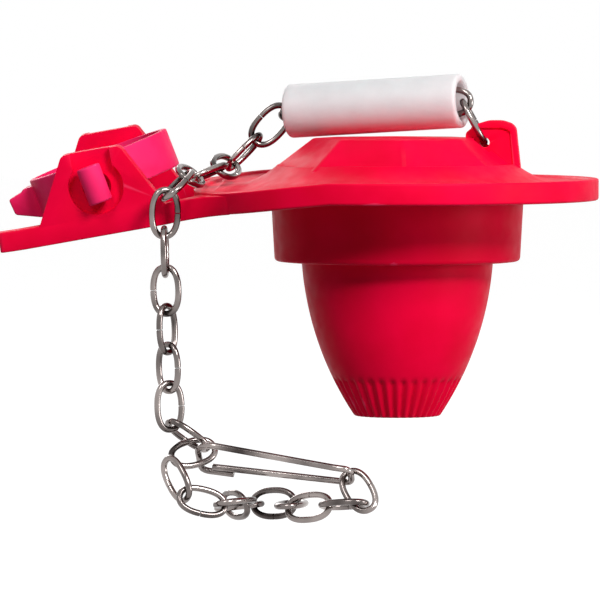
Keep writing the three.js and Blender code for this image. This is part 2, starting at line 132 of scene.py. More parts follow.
def turned(profile, segments, ribbing=None):
    # a closed form turned about Z; ribbing(r, z, angle) may change the radius
    bm = bmesh.new()
    rings = []
    for r, z in profile:
        if r < drawing["onAxis"]:
            rings.append([bm.verts.new((0, 0, z))])
            continue
        ring = []
        for i in range(segments):
            angle = 2 * math.pi * i / segments
            wide = ribbing(r, z, angle) if ribbing else r
            ring.append(bm.verts.new((wide * math.sin(angle), -wide * math.cos(angle), z)))
        rings.append(ring)
    if len(rings[0]) > 1:
        rings.append(rings[0])  # an open bore: the profile runs round to its start
    bridge(bm, rings)
    return bm


def prism(outline, low, high):
    bm = bmesh.new()
    under = [bm.verts.new((p[0], p[1], low)) for p in outline]
    over = [bm.verts.new((p[0], p[1], high)) for p in outline]
    bridge(bm, [under, over])
    bm.faces.new(under)
    bm.faces.new(over)
    return bm


def standing(bm):
    # lays a prism's x and y along X and Z, and its height along Y
    bm.transform(Matrix(((1, 0, 0, 0), (0, 0, 1, 0), (0, 1, 0, 0), (0, 0, 0, 1))))
    return bm


def rod(radius, low, high, sides=drawing["rodSides"]):
    angles = [2 * math.pi * i / sides for i in range(sides)]
    outline = [(radius * math.cos(angle), radius * math.sin(angle)) for angle in angles]
    return prism(outline, low, high)


def wire(points, radius):
    # a bent round wire in the XY plane, its cut ends slightly rounded
    sides, endRound = drawing["wireSides"], drawing["wireEndRound"]
    bm = bmesh.new()
    rings = []
    last = len(points) - 1
    for i, point in enumerate(points):
        ahead = points[min(i + 1, last)] - points[max(i - 1, 0)]
        along = Vector((ahead.x, ahead.y, 0)).normalized()
        side = Vector((along.y, -along.x, 0))
        here = Vector((point.x, point.y, 0))
        sections = [(here, radius)]
        if i == 0:
            sections = [(here, radius - endRound), (here + along * endRound, radius)]
        if i == last:
            sections = [(here - along * endRound, radius), (here, radius - endRound)]
        for centre, size in sections:
            ring = []
            for k in range(sides):
                angle = 2 * math.pi * k / sides
                lift = Vector((0, 0, size * math.sin(angle)))
                ring.append(bm.verts.new(centre + side * size * math.cos(angle) + lift))
            rings.append(ring)
    bridge(bm, rings)
    bm.faces.new(rings[0])
    bm.faces.new(rings[-1])
    return bm


def block(bm):
    bmesh.ops.recalc_face_normals(bm, faces=bm.faces)
    mesh = bpy.data.meshes.new("block")
    bm.to_mesh(mesh)
    bm.free()
    obj = bpy.data.objects.new("block", mesh)
    scene.collection.objects.link(obj)
    return obj


def applied(obj):
    depsgraph = bpy.context.evaluated_depsgraph_get()
    mesh = bpy.data.meshes.new_from_object(obj.evaluated_get(depsgraph))
    obj.modifiers.clear()
    obj.data = mesh
    return obj


def combined(obj, other, operation):
    modifier = obj.modifiers.new(operation, "BOOLEAN")
    modifier.operation = operation
    modifier.solver = "EXACT"
    modifier.object = other
    applied(obj)
    bpy.data.objects.remove(other)
    return obj


def merged(blocks):
    # one closed body out of blocks that overlap
    whole = blocks[0]
    for part in blocks[1:]:
        combined(whole, part, "UNION")
    return whole


def softened(obj, width, angle=30, segments=3):
    modifier = obj.modifiers.new("edges", "BEVEL")
    modifier.width = width
    modifier.segments = segments
    modifier.limit_method = "ANGLE"
    modifier.angle_limit = math.radians(angle)
    return applied(obj)


def piece(name, blocks, material, body, place=None):
    # joins the blocks into one object that rides on its body
    bm = bmesh.new()
    for part in blocks:
        bm.from_mesh(part.data)
        bpy.data.objects.remove(part)
    bmesh.ops.remove_doubles(bm, verts=bm.verts, dist=drawing["weld"])
    bmesh.ops.dissolve_degenerate(bm, edges=bm.edges, dist=drawing["weld"])
    loose = [vertex for vertex in bm.verts if not vertex.link_faces]
    bmesh.ops.delete(bm, geom=loose, context="VERTS")
    if place:
        bm.transform(place)
    bm.transform(toMetres)
    mesh = bpy.data.meshes.new(name)
    bm.to_mesh(mesh)
    bm.free()
    mesh.shade_smooth()
    mesh.set_sharp_from_angle(angle=math.radians(drawing["sharpAngle"]))
    mesh.materials.append(material)
    obj = bpy.data.objects.new(name, mesh)
    scene.collection.objects.link(obj)
    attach(obj, body)
    return obj


# finishes

def startMaterial(name):
    material = bpy.data.materials.new(name)
    material.use_nodes = True
    nodes = material.node_tree.nodes
    return material, nodes, material.node_tree.links, nodes["Principled BSDF"]


def addNoise(nodes, links, coords, scale, detail, stretch=(1, 1, 1)):
    mapping = nodes.new("ShaderNodeMapping")
    mapping.inputs["Scale"].default_value = stretch
    noise = nodes.new("ShaderNodeTexNoise")
    noise.inputs["Scale"].default_value = scale
    noise.inputs["Detail"].default_value = detail
    links.new(coords, mapping.inputs["Vector"])
    links.new(mapping.outputs["Vector"], noise.inputs["Vector"])
    return noise.outputs["Fac"]


def addRange(nodes, links, value, low, high, fromLow=0.3, fromHigh=0.7):
    fit = nodes.new("ShaderNodeMapRange")
    fit.inputs["From Min"].default_value = fromLow
    fit.inputs["From Max"].default_value = fromHigh
    fit.inputs["To Min"].default_value = low
    fit.inputs["To Max"].default_value = high
    links.new(value, fit.inputs["Value"])
    return fit.outputs["Result"]


def addTones(nodes, links, value, deep, bright, deepEnd=0.32, brightStart=0.68):
    tones = nodes.new("ShaderNodeValToRGB")
    tones.color_ramp.elements[0].position = deepEnd
    tones.color_ramp.elements[0].color = (*deep, 1)
    tones.color_ramp.elements[1].position = brightStart
    tones.color_ramp.elements[1].color = (*bright, 1)
    links.new(value, tones.inputs["Fac"])
    return tones.outputs["Color"]


def addBump(nodes, links, value, strength, distance, under=None):
    bump = nodes.new("ShaderNodeBump")
    bump.inputs["Strength"].default_value = strength
    bump.inputs["Distance"].default_value = distance
    links.new(value, bump.inputs["Height"])
    if under:
        links.new(under, bump.inputs["Normal"])
    return bump.outputs["Normal"]


rubberLook = {
    "deep": (0.79, 0.0, 0.028),
    "bright": (0.92, 0.0, 0.046),
    # edge: a painted highlight, the lighter, pinker colour mixed onto edges and corners
    "edge": (0.96, 0.05, 0.15),
    "roughLow": 0.40,
    "roughHigh": 0.54,
}


# the ring's rubber: a lighter, pinker copy of the crimson rubber, its pink a painted sheen of the
# ring's lit faces; its edge colour is a painted highlight
ringLook = {
    "deep": (0.88, 0.010, 0.10),
    "bright": (0.98, 0.028, 0.17),
    "edge": (0.98, 0.10, 0.30),
    "roughLow": 0.40,
    "roughHigh": 0.54,
}

# noises are (scale, detail) and bumps (strength, distance)
rubberGrain = {
    "cloud": (70, 4),
    "dull": (420, 3),
    "flow": (160, 2),
    "flowBump": (0.10, 0.0004),
    "grain": (3200, 2),
    "grainBump": (0.10, 0.00008),
    "edgeHighlightShare": (0, 0.6),
    "edgeHighlightPointiness": (0.525, 0.6),
    "specular": 0.06,
}


def mouldedRubber(name, look):
    material, nodes, links, shader = startMaterial(name)
    g = rubberGrain
    coords = nodes.new("ShaderNodeTexCoord").outputs["Object"]
    cloud = addNoise(nodes, links, coords, *g["cloud"])
    body = addTones(nodes, links, cloud, look["deep"], look["bright"])
    # painted highlight: edges and corners, found by pointiness, are mixed toward the look's
    # lighter edge colour
    edgeHighlightMask = nodes.new("ShaderNodeNewGeometry").outputs["Pointiness"]
    edge = addRange(nodes, links, edgeHighlightMask, *g["edgeHighlightShare"], *g["edgeHighlightPointiness"])
    blend = nodes.new("ShaderNodeMix")
    blend.data_type = "RGBA"
    links.new(edge, blend.inputs["Factor"])
    links.new(body, blend.inputs["A"])
    blend.inputs["B"].default_value = (*look["edge"], 1)
    links.new(blend.outputs["Result"], shader.inputs["Base Color"])
    dull = addNoise(nodes, links, coords, *g["dull"])
    rough = addRange(nodes, links, dull, look["roughLow"], look["roughHigh"])
    links.new(rough, shader.inputs["Roughness"])
    flow = addBump(nodes, links, addNoise(nodes, links, coords, *g["flow"]), *g["flowBump"])
    fine = addNoise(nodes, links, coords, *g["grain"])
    grain = addBump(nodes, links, fine, *g["grainBump"], flow)
    links.new(grain, shader.inputs["Normal"])
    shader.inputs["Specular IOR Level"].default_value = g["specular"]
    return material


steelLook = {
    "deep": (0.06, 0.05, 0.048),
    "bright": (0.36, 0.315, 0.30),
    "roughLow": 0.14,
    "roughHigh": 0.2,
    "tarnish": (120, 2),
    "drawn": (600, 2, (0.4, 1, 1)),
    "drawnBump": (0.06, 0.00006),
}


def chainSteel():
    material, nodes, links, shader = startMaterial("chainSteel")
    coords = nodes.new("ShaderNodeTexCoord").outputs["Object"]
    tarnish = addNoise(nodes, links, coords, *steelLook["tarnish"])
    colour = addTones(nodes, links, tarnish, steelLook["deep"], steelLook["bright"])
    links.new(colour, shader.inputs["Base Color"])
    drawn = addNoise(nodes, links, coords, *steelLook["drawn"])
    rough = addRange(nodes, links, drawn, steelLook["roughLow"], steelLook["roughHigh"])
    links.new(rough, shader.inputs["Roughness"])
    scratched = addBump(nodes, links, drawn, *steelLook["drawnBump"])
    links.new(scratched, shader.inputs["Normal"])
    shader.inputs["Metallic"].default_value = 1
    return material


foamLook = {
    "deep": (0.79, 0.75, 0.77),
    "bright": (0.86, 0.82, 0.84),
    "roughLow": 0.42,
    "roughHigh": 0.6,
    "cloud": (150, 4),
    "dull": (900, 3),
    "waves": (260, 2),
    "wavesBump": (0.15, 0.0003),
    "cells": (2600, 2),
    "cellsBump": (0.18, 0.0001),
    "subsurface": 0.8,
    "subsurfaceRadius": (0.006, 0.005, 0.005),
}


def paleFoam():
    material, nodes, links, shader = startMaterial("paleFoam")
    f = foamLook
    coords = nodes.new("ShaderNodeTexCoord").outputs["Object"]
    cloud = addNoise(nodes, links, coords, *f["cloud"])
    colour = addTones(nodes, links, cloud, f["deep"], f["bright"])
    links.new(colour, shader.inputs["Base Color"])
    dull = addNoise(nodes, links, coords, *f["dull"])
    rough = addRange(nodes, links, dull, f["roughLow"], f["roughHigh"])
    links.new(rough, shader.inputs["Roughness"])
    waves = addBump(nodes, links, addNoise(nodes, links, coords, *f["waves"]), *f["wavesBump"])
    fine = addNoise(nodes, links, coords, *f["cells"])
    cells = addBump(nodes, links, fine, *f["cellsBump"], waves)
    links.new(cells, shader.inputs["Normal"])
    shader.inputs["Subsurface Weight"].default_value = f["subsurface"]
    shader.inputs["Subsurface Radius"].default_value = f["subsurfaceRadius"]
    shader.inputs["Subsurface Scale"].default_value = 1
    return material


crimson = mouldedRubber("crimsonRubber", rubberLook)
ringSheenRubber = mouldedRubber("ringPaintedSheenRubber", ringLook)
steel = chainSteel()
foam = paleFoam()
print("materials ready")


# the soft arm droops and twists a little towards its tail

armCourse = [
    {"start": -15, "end": -44, "turn": 10.2},
    {"start": -44, "end": -71.5, "turn": 0},
    {"start": -71.5, "end": -80, "turn": -5},
]
armTwist = {"start": -10, "end": -44, "turn": 5.8}


def frameAt(x):
    place = max(x, armCourse[0]["start"])
    drop = 0
    heading = 0
    for stretch in armCourse:
        whole = stretch["start"] - stretch["end"]
        walked = min(max(stretch["start"] - x, 0), whole)
        turn = math.radians(stretch["turn"]) * walked / whole
        chord = walked if turn == 0 else walked * math.sin(turn / 2) / (turn / 2)
        place -= chord * math.cos(heading + turn / 2)
        drop += chord * math.sin(heading + turn / 2)
        heading += turn
    share = min(max((armTwist["start"] - x) / (armTwist["start"] - armTwist["end"]), 0), 1)
    twist = math.radians(armTwist["turn"]) * share
    bend = Matrix.Rotation(-heading, 4, "Y") @ Matrix.Rotation(twist, 4, "X")
    return Matrix.Translation((place, 0, -drop)) @ bend


def settled(obj):
    for vertex in obj.data.vertices:
        if vertex.co.x < armTwist["start"]:
            flat = Vector((0, vertex.co.y, vertex.co.z))
            vertex.co = frameAt(vertex.co.x) @ flat
    return obj


# disc with its dome

discSizes = {
    "radius": 39.5,
    "rim": 4.3,
    "recess": 3.8,
    "lip": 1.9,
    "lipSlope": 0.5,
    "underRadius": 24,
    "underEdge": 2.2,
    "underRelief": 1.6,
    "underRise": 0.05,
    "flareRadius": 30.5,
    "flareBulge": -0.55,
    "flareSteps": 12,
    "domeBase": (23.3, 7.1),
    "domeTop": (16.6, 12.2),
    "domeCrown": 0.3,
    "domeSink": 1.2,
    "domeSides": 8,
    "domeEdge": 0.55,
    "domeEdgeAngle": 15,
    "domeEdgeSteps": 4,
    "domeTurn": 8,
    "segments": 192,
}


def discBlock():
    d = discSizes
    edge = d["radius"]
    lip = edge - d["lip"]
    profile = rounded([
        (0, 0),
        (d["underRadius"], 0),
        (edge - d["underEdge"], 0, 0.5),
        (edge - d["underRelief"], 0, 0.3),
        (edge, d["underRise"], 0.6),
        (edge, d["rim"], 0.45),
        (lip, d["rim"], 0.35),
        (lip - d["lipSlope"], d["recess"], 0.35),
        (d["flareRadius"], d["recess"]),
    ], closed=False)
    flareStart = (d["flareRadius"], d["recess"])
    profile += bulged(flareStart, d["domeBase"], d["flareBulge"], d["flareSteps"])[1:]
    profile.append(Vector((0, d["domeBase"][1])))
    return settled(block(turned(profile, d["segments"])))


def domeBlock():
    d = discSizes
    baseRadius, baseLevel = d["domeBase"]
    topRadius, topLevel = d["domeTop"]
    sink = d["domeSink"]
    slope = (baseRadius - topRadius) / (topLevel - baseLevel)
    dome = block(turned([
        (0, baseLevel - sink),
        (baseRadius + sink * slope, baseLevel - sink),
        (topRadius, topLevel),
        (0, topLevel + d["domeCrown"]),
    ], d["domeSides"]))
    softened(dome, d["domeEdge"], d["domeEdgeAngle"], d["domeEdgeSteps"])
    dome.data.transform(Matrix.Rotation(math.radians(d["domeTurn"]), 4, "Z"))
    lug = lugSizes
    pocket = rod(lug["pocketRadius"], -lug["pocketHalfWidth"], lug["pocketHalfWidth"])
    pocket = block(standing(pocket))
    pocket.data.transform(Matrix.Translation((lug["hole"][0], 0, lug["hole"][1])))
    return combined(dome, pocket, "DIFFERENCE")


# skirt and fluted cone

coneSizes = {
    "skirtTop": 24.8,
    "skirtBottom": 24.1,
    "skirtHeight": 12,
    "coneTop": 18.8,
    "coneTip": 8.4,
    "coneLength": 30.4,
    "coneBulge": 2.1,
    "flutes": 36,
    "fluteLength": 7.8,
    "fluteDepth": 0.5,
    "fluteRun": 0.8,
    "flutePower": 1.2,
    "fluteColumns": 10,
    "tipMargin": 1.2,
    "tipShare": 0.6,
    "tipEdge": 0.1,
    "skirtSink": 0.5,
    "sideSteps": 40,
    "bleedHole": 1.6,
    "bleedDepth": 5,
}


def fluted(radius, z, angle):
    # grooves that fade in over fluteRun and are shallower on the tip's edge
    c = coneSizes
    tip = -c["skirtHeight"] - c["coneLength"]
    into = (tip + c["fluteLength"] - z) / c["fluteRun"]
    if radius < c["coneTip"] - c["tipMargin"] or into <= 0:
        return radius
    groove = 0.5 + 0.5 * math.cos(c["flutes"] * angle)
    groove = groove ** c["flutePower"]
    onSide = radius >= c["coneTip"] - c["tipEdge"]
    fade = min(1, into) * (1 if onSide else c["tipShare"])
    return radius - c["fluteDepth"] * groove * fade


def coneBlock():
    c = coneSizes
    top = -c["skirtHeight"]
    tip = top - c["coneLength"]
    hole = c["bleedHole"]
    side = bulged((c["coneTip"], tip), (c["coneTop"], top), c["coneBulge"], c["sideSteps"])
    fluteTop = tip + c["fluteLength"]
    run = c["fluteRun"]
    side = [p for p in side[1:] if abs(p.y - fluteTop) > run / 2]
    here = next(i for i, p in enumerate(side) if p.y > fluteTop)
    low, high = side[here - 1], side[here]
    extra = []
    for level in (fluteTop - run, fluteTop - run / 2, fluteTop):
        t = (level - low.y) / (high.y - low.y)
        extra.append(low.lerp(high, t))
    side = side[:here] + extra + side[here:]
    side = sorted(side, key=lambda p: p.y)
    start = rounded([
        (0, tip + c["bleedDepth"]),
        (hole, tip + c["bleedDepth"]),
        (hole, tip, 0.25),
        (c["coneTip"], tip, 0.35),
        (side[0].x, side[0].y),
    ], closed=False)
    wall = rounded([
        (side[-1].x, side[-1].y, 0.5),
        (c["skirtBottom"], top, 0.9),
        (c["skirtTop"], c["skirtSink"]),
        (0, c["skirtSink"]),
    ], closed=False)
    profile = start[:-1] + side + wall[1:]
    return block(turned(profile, c["flutes"] * c["fluteColumns"], fluted))


# lift lug

lugSizes = {
    "webThickness": 2.2,
    "ribThickness": 3.2,
    "hole": (17.25, 11.35),
    "holeRadius": 0.95,
    "pocketRadius": 2.1,
    "pocketHalfWidth": 3.6,
    "middle": (18.8, 10),
    "webShare": 0.98,
    "webEdgeShare": 0.6,
    "edge": 0.28,
}
lugCorners = [
    (13.3, 8), (13.4, 13.3, 0.5), (15.4, 14.9, 0.5), (18, 15.7, 0.7), (20.7, 15.7, 0.6),
    (22.6, 15.1, 0.6), (23.4, 14.2, 0.6), (24.4, 5),
]
lugWebCorners = [(12, 0), (12, 14.1), (20.8, 14.1, 0.6), (22.2, 13.5, 0.6), (23.4, 0)]


def lugBlocks():
    s = lugSizes
    outline = rounded(lugCorners)
    middle = Vector(s["middle"])
    inner = [middle + (point - middle) * s["webShare"] for point in outline]
    web = block(standing(prism(inner, -s["webThickness"] / 2, s["webThickness"] / 2)))
    rib = block(standing(prism(outline, -s["ribThickness"] / 2, s["ribThickness"] / 2)))
    field = block(standing(prism(rounded(lugWebCorners), -s["ribThickness"], s["ribThickness"])))
    combined(rib, field, "DIFFERENCE")
    hole = block(standing(rod(s["holeRadius"], -s["ribThickness"], s["ribThickness"])))
    hole.data.transform(Matrix.Translation((s["hole"][0], 0, s["hole"][1])))
    combined(web, hole, "DIFFERENCE")
    return [softened(web, s["edge"] * s["webEdgeShare"]), softened(rib, s["edge"])]


# arm, rails and ears

armSizes = {
    "thickness": 4,
    "railOuter": 18.2,
    "railWidth": 3.2,
    "fillet": 18,
    "forkFront": -35,
    "forkCorner": 6,
    "nearTail": -77,
    "farTail": -70.6,
    "tailCorner": 0.4,
    "sideSteps": 20,
    "forkSteps": 12,
    "slice": 1.5,
    "firstSlice": 1,
    "lastSlice": 0.5,
    "blend": 5,
    "sink": 0.1,
    "edge": 0.4,
    "edgeAngle": 40,
}
earSizes = {
    "pivot": (-56.2, 9.6),
    "top": 7.2,
    "topBack": -5.6,
    "topFront": 5.95,
    "footBack": -12.3,
    "footFront": 12.6,
    "corner": 0.9,
    "footCorner": 1.2,
    "cornerSteps": 8,
    "root": 1,
    "past": 1,
    "socketRadius": 5.4,
    "socketDepth": 1.5,
    "socketSides": 64,
    "channelHalfWidth": 3.9,
    "holeRadius": 2.8,
    "edge": 0.32,
    "edgeAngle": 40,
}


def armHalfWidth(x):
    fillet = armSizes["fillet"]
    radius = discSizes["radius"]
    centreY = armSizes["railOuter"] + fillet
    centreX = -math.sqrt((radius + fillet) ** 2 - centreY ** 2)
    if x <= centreX:
        return armSizes["railOuter"]
    tangentX = centreX * radius / (radius + fillet)
    reach = min(x, tangentX) - centreX
    return centreY - math.sqrt(fillet ** 2 - reach ** 2)


def armBlock():
    a = armSizes
    start = -discSizes["flareRadius"]
    inner = a["railOuter"] - a["railWidth"]
    steps = a["sideSteps"]
    straight = armCourse[0]["end"]
    sides = [start + (straight - start) * i / steps for i in range(steps + 1)]
    gap = rounded([
        (a["nearTail"], -inner),
        (a["forkFront"], -inner, a["forkCorner"]),
        (a["forkFront"], inner, a["forkCorner"]),
        (a["farTail"], inner),
    ], closed=False, steps=a["forkSteps"])
    outline = [Vector((x, -armHalfWidth(x))) for x in sides]
    corner = a["tailCorner"]
    outline += [Vector((a["nearTail"] + corner, -a["railOuter"]))]
    outline += [Vector((a["nearTail"], corner - a["railOuter"]))]
    outline += gap
    outline += [Vector((a["farTail"], a["railOuter"] - corner))]
    outline += [Vector((a["farTail"] + corner, a["railOuter"]))]
    outline += [Vector((x, armHalfWidth(x))) for x in reversed(sides)]
    arm = softened(block(prism(outline, 0, a["thickness"])), a["edge"], a["edgeAngle"])
    bm = bmesh.new()
    bm.from_mesh(arm.data)
    x = a["nearTail"] + a["firstSlice"]
    while x < start - a["lastSlice"]:
        everything = bm.verts[:] + bm.edges[:] + bm.faces[:]
        bmesh.ops.bisect_plane(bm, geom=everything, plane_co=(x, 0, 0), plane_no=(1, 0, 0))
        x += a["slice"]
    for vertex in bm.verts:
        rise = min(max((start - vertex.co.x) / a["blend"], 0), 1)
        top = (discSizes["recess"] - a["sink"]) * (1 - rise) + a["thickness"] * rise
        vertex.co.z *= top / a["thickness"]
    bm.to_mesh(arm.data)
    bm.free()
    return settled(arm)


def earBlock(side):
    e = earSizes
    a = armSizes
    sink = e["pivot"][1] - a["thickness"] + e["root"]
    high = e["top"] + e["pivot"][1] - a["thickness"]
    backSlope = (e["topBack"] - e["footBack"]) / high
    frontSlope = (e["footFront"] - e["topFront"]) / high
    foot = a["thickness"] - e["pivot"][1]
    outline = rounded([
        (e["footBack"] - backSlope * e["root"], -sink),
        (e["footFront"] + frontSlope * e["root"], -sink),
        (e["footFront"], foot, e["footCorner"]),
        (e["topFront"], e["top"], e["corner"]),
        (e["topBack"], e["top"], e["corner"]),
        (e["footBack"], foot, e["footCorner"]),
    ], steps=e["cornerSteps"])
    face = a["railOuter"]
    inside = face - a["railWidth"]
    plate = sorted((side * inside, side * face))
    past = e["past"]
    pocket = sorted((side * (face - e["socketDepth"]), side * (face + past)))
    through = sorted((side * (inside - past), side * (face + past)))
    half, high = e["channelHalfWidth"], e["top"] + past
    channel = [(-half, -past), (half, -past), (half, high), (-half, high)]
    ear = block(standing(prism(outline, *plate)))
    socket = rod(e["socketRadius"], *pocket, e["socketSides"])
    combined(ear, block(standing(socket)), "DIFFERENCE")
    combined(ear, block(standing(prism(channel, *pocket))), "DIFFERENCE")
    combined(ear, block(standing(rod(e["holeRadius"], *through))), "DIFFERENCE")
    ear.data.transform(Matrix.Translation((e["pivot"][0], 0, e["pivot"][1])))
    return settled(softened(ear, e["edge"], e["edgeAngle"]))


flapperBlocks = [discBlock(), domeBlock(), coneBlock(), *lugBlocks()]
flapperBlocks += [armBlock(), earBlock(-1), earBlock(1)]
flapper = piece("flapperMoulding", [merged(flapperBlocks)], crimson, "flapper")
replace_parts(flapper, "flapper_body")
print("flapper moulding made")


# overflow ring

ringSizes = {
    "outer": 14.4,
    "wall": 1.3,
    "height": 7.6,
    "tilt": 10.5,
    "slack": 2.2,
    "pegDrop": 0.7,
    "neckRadius": 1.7,
    "headRadius": 2.35,
    "headHeight": 7.4,
    "headMiddle": 19.5,
    "tabWidth": 7,
    "tabReach": 4.9,
    "tabRootDrop": 1.3,
    "tabShoulders": ((1.5, 1.1), (2.1, 1.6)),
    "tabTipDrop": 2.1,
    "tabTipLean": 0.2,
    "tabTipLift": 2.25,
    "tabEdge": 0.35,
    "bandSteps": 4,
    "bandColumns": 160,
    "neckSides": 40,
    "headSides": 56,
    "headEdge": 0.4,
    "headEdgeAngle": 40,
    "headEdgeSteps": 4,
}


def ringBlocks():
    r = ringSizes
    outer, inner, half = r["outer"], r["outer"] - r["wall"], r["height"] / 2
    band = block(turned(rounded([
        (inner, -half, 0.2),
        (outer, -half, 0.4),
        (outer, half, 0.4),
        (inner, half, 0.2),
    ], steps=r["bandSteps"]), r["bandColumns"]))
    (nearOut, nearDrop), (farOut, farDrop) = r["tabShoulders"]
    tab = block(standing(prism(rounded([
        (-outer + r["wall"] / 2, -half),
        (-outer + r["wall"] / 2, half - r["tabRootDrop"]),
        (-outer - nearOut, half - nearDrop, 0.3),
        (-outer - farOut, half - farDrop, 0.3),
        (-outer - r["tabReach"], half - r["tabTipDrop"], 0.5),
        (-outer - r["tabReach"] + r["tabTipLean"], -half + r["tabTipLift"], 0.5),
        (-outer, -half, 0.3),
    ]), -r["tabWidth"] / 2, r["tabWidth"] / 2)))
    blocks = [band, softened(tab, r["tabEdge"])]
    for part in blocks:
        part.data.transform(Matrix.Translation((0, 0, r["pegDrop"])))
    for side in (-1, 1):
        low, high = sorted((side * (outer - r["wall"] / 2), side * r["headMiddle"]))
        blocks.append(block(standing(rod(r["neckRadius"], low, high, r["neckSides"]))))
        tall = r["headHeight"] / 2
        head = block(rod(r["headRadius"], -tall, tall, r["headSides"]))
        head.data.transform(Matrix.Translation((0, side * r["headMiddle"], 0)))
        blocks.append(softened(head, r["headEdge"], r["headEdgeAngle"], r["headEdgeSteps"]))
    return blocks


ringPlace = frameAt(earSizes["pivot"][0]) @ Matrix.Translation((0, 0, earSizes["pivot"][1]))
ringPlace = ringPlace @ Matrix.Rotation(math.radians(-ringSizes["slack"]), 4, "X")
ringPlace = ringPlace @ Matrix.Rotation(math.radians(-ringSizes["tilt"]), 4, "Y")
ring = piece("overflowRing", [merged(ringBlocks())], ringSheenRubber, "ring", place=ringPlace)
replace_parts(ring, "overflow_ring")
print("overflow ring made")


# float

floatSizes = {
    "length": 35.8,
    "radius": 5.3,
    "bore": 3.9,
    "end": (12.8, -0.4, 19.5),
    "yaw": 13,
    "dip": 3.6,
    "mouthRound": 0.5,
    "endRound": 0.75,
    "roundSteps": 6,
    "segments": 96,
}


def floatTube():
    f = floatSizes
    half = f["length"] / 2
    tube = block(turned(rounded([
        (f["bore"], -half, f["mouthRound"]),
        (f["radius"], -half, f["endRound"]),
        (f["radius"], half, f["endRound"]),
        (f["bore"], half, f["mouthRound"]),
    ], steps=f["roundSteps"]), f["segments"]))
    yaw, dip = math.radians(f["yaw"]), math.radians(f["dip"])
    along = Vector((-math.cos(yaw) * math.cos(dip), math.sin(yaw) * math.cos(dip), -math.sin(dip)))
    turn = Vector((0, 0, 1)).rotation_difference(along).to_matrix().to_4x4()
    place = Matrix.Translation(Vector(f["end"]) + along * half) @ turn
    return piece("floatTube", [tube], foam, "float_run", place=place)


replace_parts(floatTube(), "float")
print("float made")


# chain

linkSizes = {
    "wire": 1.25,
    "innerLength": 7.8,
    "innerWidth": 3.9,
    "buttGap": 0.04,
    "squareness": 2.35,
    "steps": 64,
    "gapWindow": 0.4,
    "count": 30,
}


def linkPoints():
    # an oval line from one side of the butt gap round to the other
    s = linkSizes
    long = (s["innerLength"] + s["wire"]) / 2
    wide = (s["innerWidth"] + s["wire"]) / 2
    steps = s["steps"]
    gap = s["buttGap"] / 2 / long
    squared = 2 / s["squareness"]
    points = []
    for i in range(steps + 1):
        angle = -math.pi / 2 + gap + (2 * math.pi - 2 * gap) * i / steps
        across, along = math.sin(angle), math.cos(angle)
        x = long * math.copysign(abs(along) ** squared, along)
        y = wide * math.copysign(abs(across) ** squared, across)
        points.append(Vector((x, y)))
    return points


def wirePlace(node):
    # a flat wire node's middle, its axes (length, width, thickness) and its corners along them
    corners = np.array([v.co for v in frame["nodes"][node].data.vertices]) * 1000
    middle = corners.mean(0)
    axes = np.linalg.svd(corners - middle, full_matrices=False)[2]
    local = (corners - middle) @ axes.T
    shift = (local.min(0) + local.max(0)) / 2
    local -= shift
    return middle + shift @ axes, axes, local


def placeMatrix(middle, axes):
    along, across = Vector(axes[0]), Vector(axes[1])
    faces = along.cross(across)
    return Matrix.Translation(middle) @ Matrix((along, across, faces)).transposed().to_4x4()


def chainLink(number):
    node = f"chain_link_{number:02d}"
    middle, axes, local = wirePlace(node)
    nearGap = np.abs(local[:, 0]) < linkSizes["gapWindow"]
    if local[nearGap, 1].mean() > 0:
        axes = axes * np.array([[1], [-1], [1]])  # the butt gap is on the side with more corners
    bodies = body_of(frame["nodes"][node])
    bent = block(wire(linkPoints(), linkSizes["wire"] / 2))
    place = placeMatrix(middle, axes)
    link = piece(f"chainLink{number:02d}", [bent], steel, bodies[0], place=place)
    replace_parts(link, node)


for number in range(1, linkSizes["count"] + 1):
    chainLink(number)
print("chain made")


# clip

clipSizes = {
    "wire": 1.3,
    "width": 9.4,
    "eyeWidth": 4.6,
    "eyeLength": 3,
    "eyeCorner": 1.8,
    "neckCorner": 1,
    "endCorner": 1.8,
    "shoulder": 2.6,
    "shoulderDrop": 1.6,
    "shoulderCorner": 1.4,
    "gateShort": 2.4,
    "latch": 6.5,
    "latchGap": 0.35,
    "steps": 10,
    "endShare": 0.7,
    "latchShares": (0.4, 0.8),
}


def clipPoints(length):
    c = clipSizes
    half, eye = c["width"] / 2, c["eyeWidth"] / 2
    gate = half - c["wire"] - c["latchGap"]
    return rounded([
        (length - c["gateShort"], -gate),
        (c["eyeLength"], -eye, c["neckCorner"]),
        (0, -eye, c["eyeCorner"]),
        (0, eye, c["eyeCorner"]),
        (c["eyeLength"], eye, c["neckCorner"]),
        (length - c["shoulder"], half, c["shoulderCorner"]),
        (length, half - c["shoulderDrop"], c["shoulderCorner"]),
        (length, -half, c["endCorner"]),
        (length - c["latch"], -half),
    ], closed=False, steps=c["steps"])


def clipPiece():
    c = clipSizes
    middle, axes, local = wirePlace("chain_clip")
    reach = local[:, 0].max()
    farEnd = local[local[:, 0] > c["endShare"] * reach, 1]
    nearEnd = local[local[:, 0] < -c["endShare"] * reach, 1]
    if np.ptp(farEnd) < np.ptp(nearEnd):  # the eye's end is the narrow one
        axes = axes * np.array([[-1], [1], [1]])
        local = local * np.array([-1, 1, 1])
    low, high = c["latchShares"]
    latchSide = (local[:, 0] > low * reach) & (local[:, 0] < high * reach)
    if local[latchSide, 1].mean() > 0:  # the latch and the gate are on the side with more corners
        axes = axes * np.array([[1], [-1], [1]])
        local = local * np.array([1, -1, 1])
    length = 2 * reach - c["wire"]
    place = placeMatrix(middle, axes) @ Matrix.Translation((-length / 2, 0, 0))
    bent = block(wire(clipPoints(length), c["wire"] / 2))
    clip = piece("chainClip", [bent], steel, "heap", place=place)
    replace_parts(clip, "chain_clip")


clipPiece()
print("clip made")


# camera, floor and light

cameraView = {
    "aim": (-0.0192, 0, -0.01975),
    "azimuth": 5.5,
    "elevation": 2.6,
    "distance": 1.3,
    "lens": 396.4,
    "sensor": 36,
    "clip": (0.05, 50),
}


